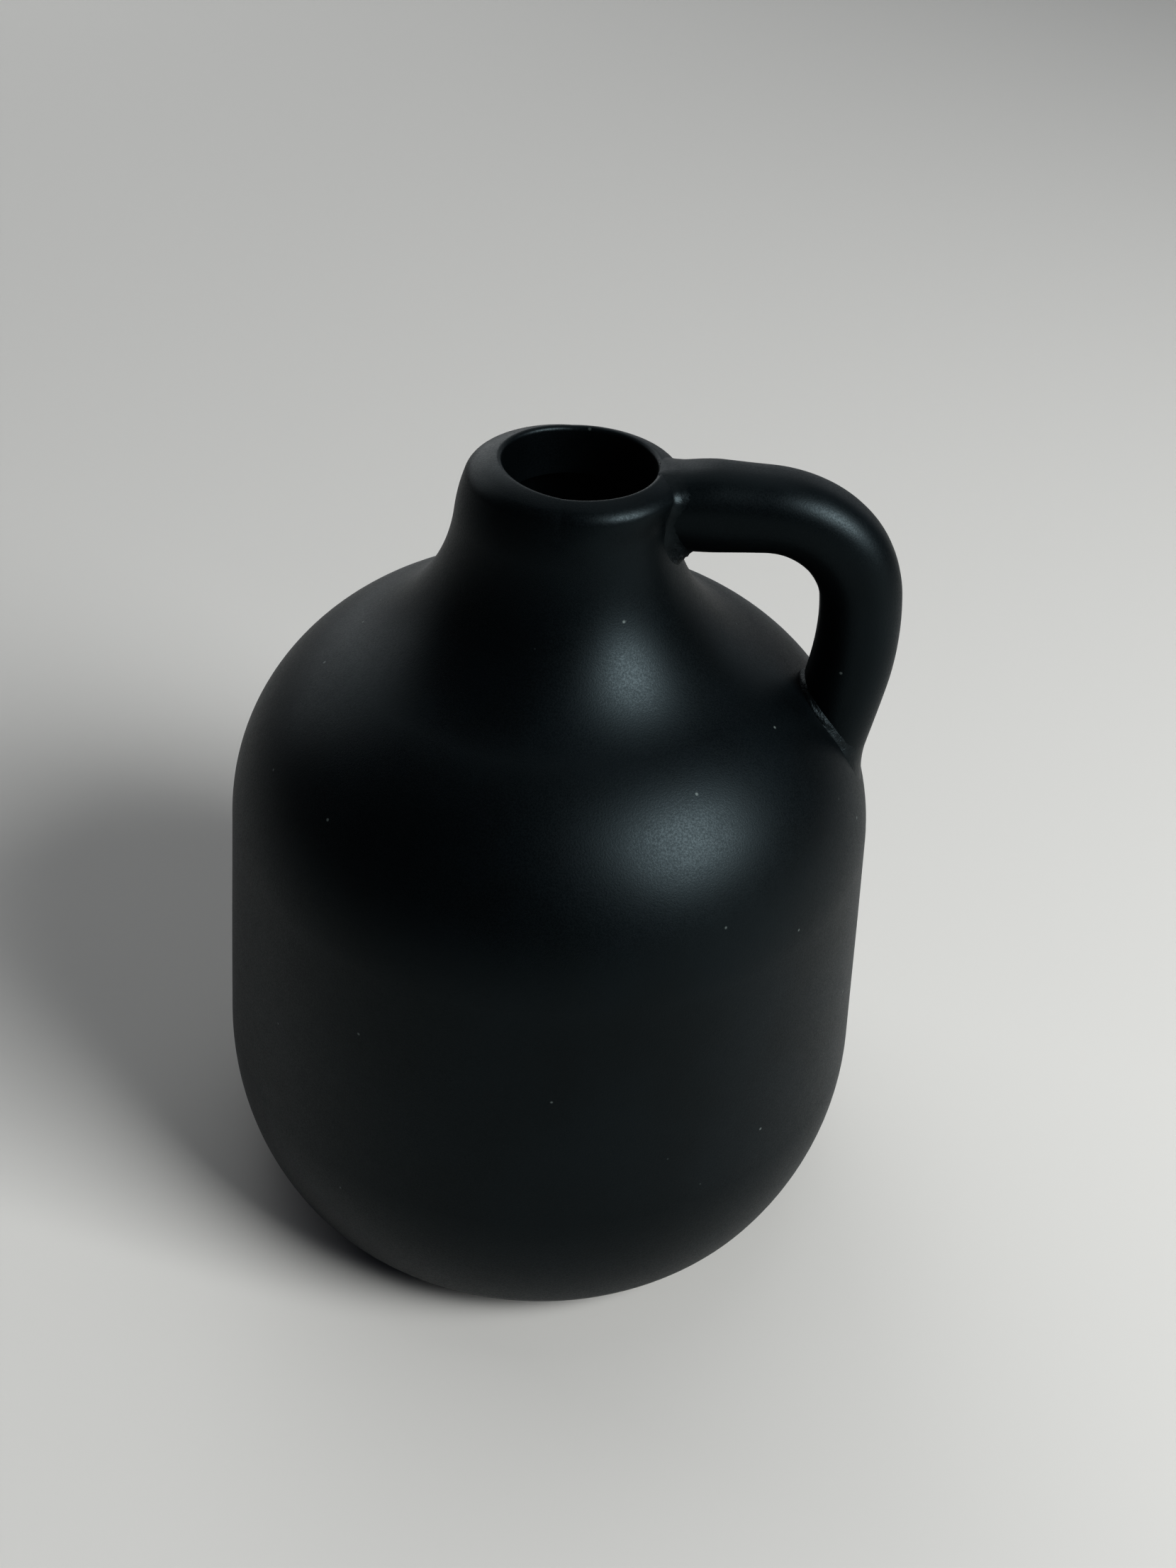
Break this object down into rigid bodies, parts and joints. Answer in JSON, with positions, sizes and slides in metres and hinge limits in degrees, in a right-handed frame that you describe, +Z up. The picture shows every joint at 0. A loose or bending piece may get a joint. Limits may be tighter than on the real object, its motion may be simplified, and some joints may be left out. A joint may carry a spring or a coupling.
{
  "type": "clay jug vase",
  "caption": "Small matte black clay jug with a rounded body, a short narrow neck and a loop handle from lip to shoulder.",
  "frame": {"origin": "centre of the foot on the surface that the jug stands on", "axes": "+Z up out of the mouth, +X from the jug's centre line towards the handle"},
  "size_m": [0.097, 0.097, 0.1207],
  "materials": {
    "black_clay": "matte",
    "clay_slip": "matte"
  },
  "bodies": {
    "root": {"base_disc": "black_clay", "base_slip_ring": "clay_slip", "belly_wall": "black_clay", "belly_slip_ring": "clay_slip", "shoulder": "black_clay", "shoulder_slip_ring": "clay_slip", "neck": "black_clay", "neck_slip_ring": "clay_slip", "rim": "black_clay", "handle": "black_clay", "handle_upper_slip": "clay_slip", "handle_lower_slip": "clay_slip"}
  },
  "joints": []
}
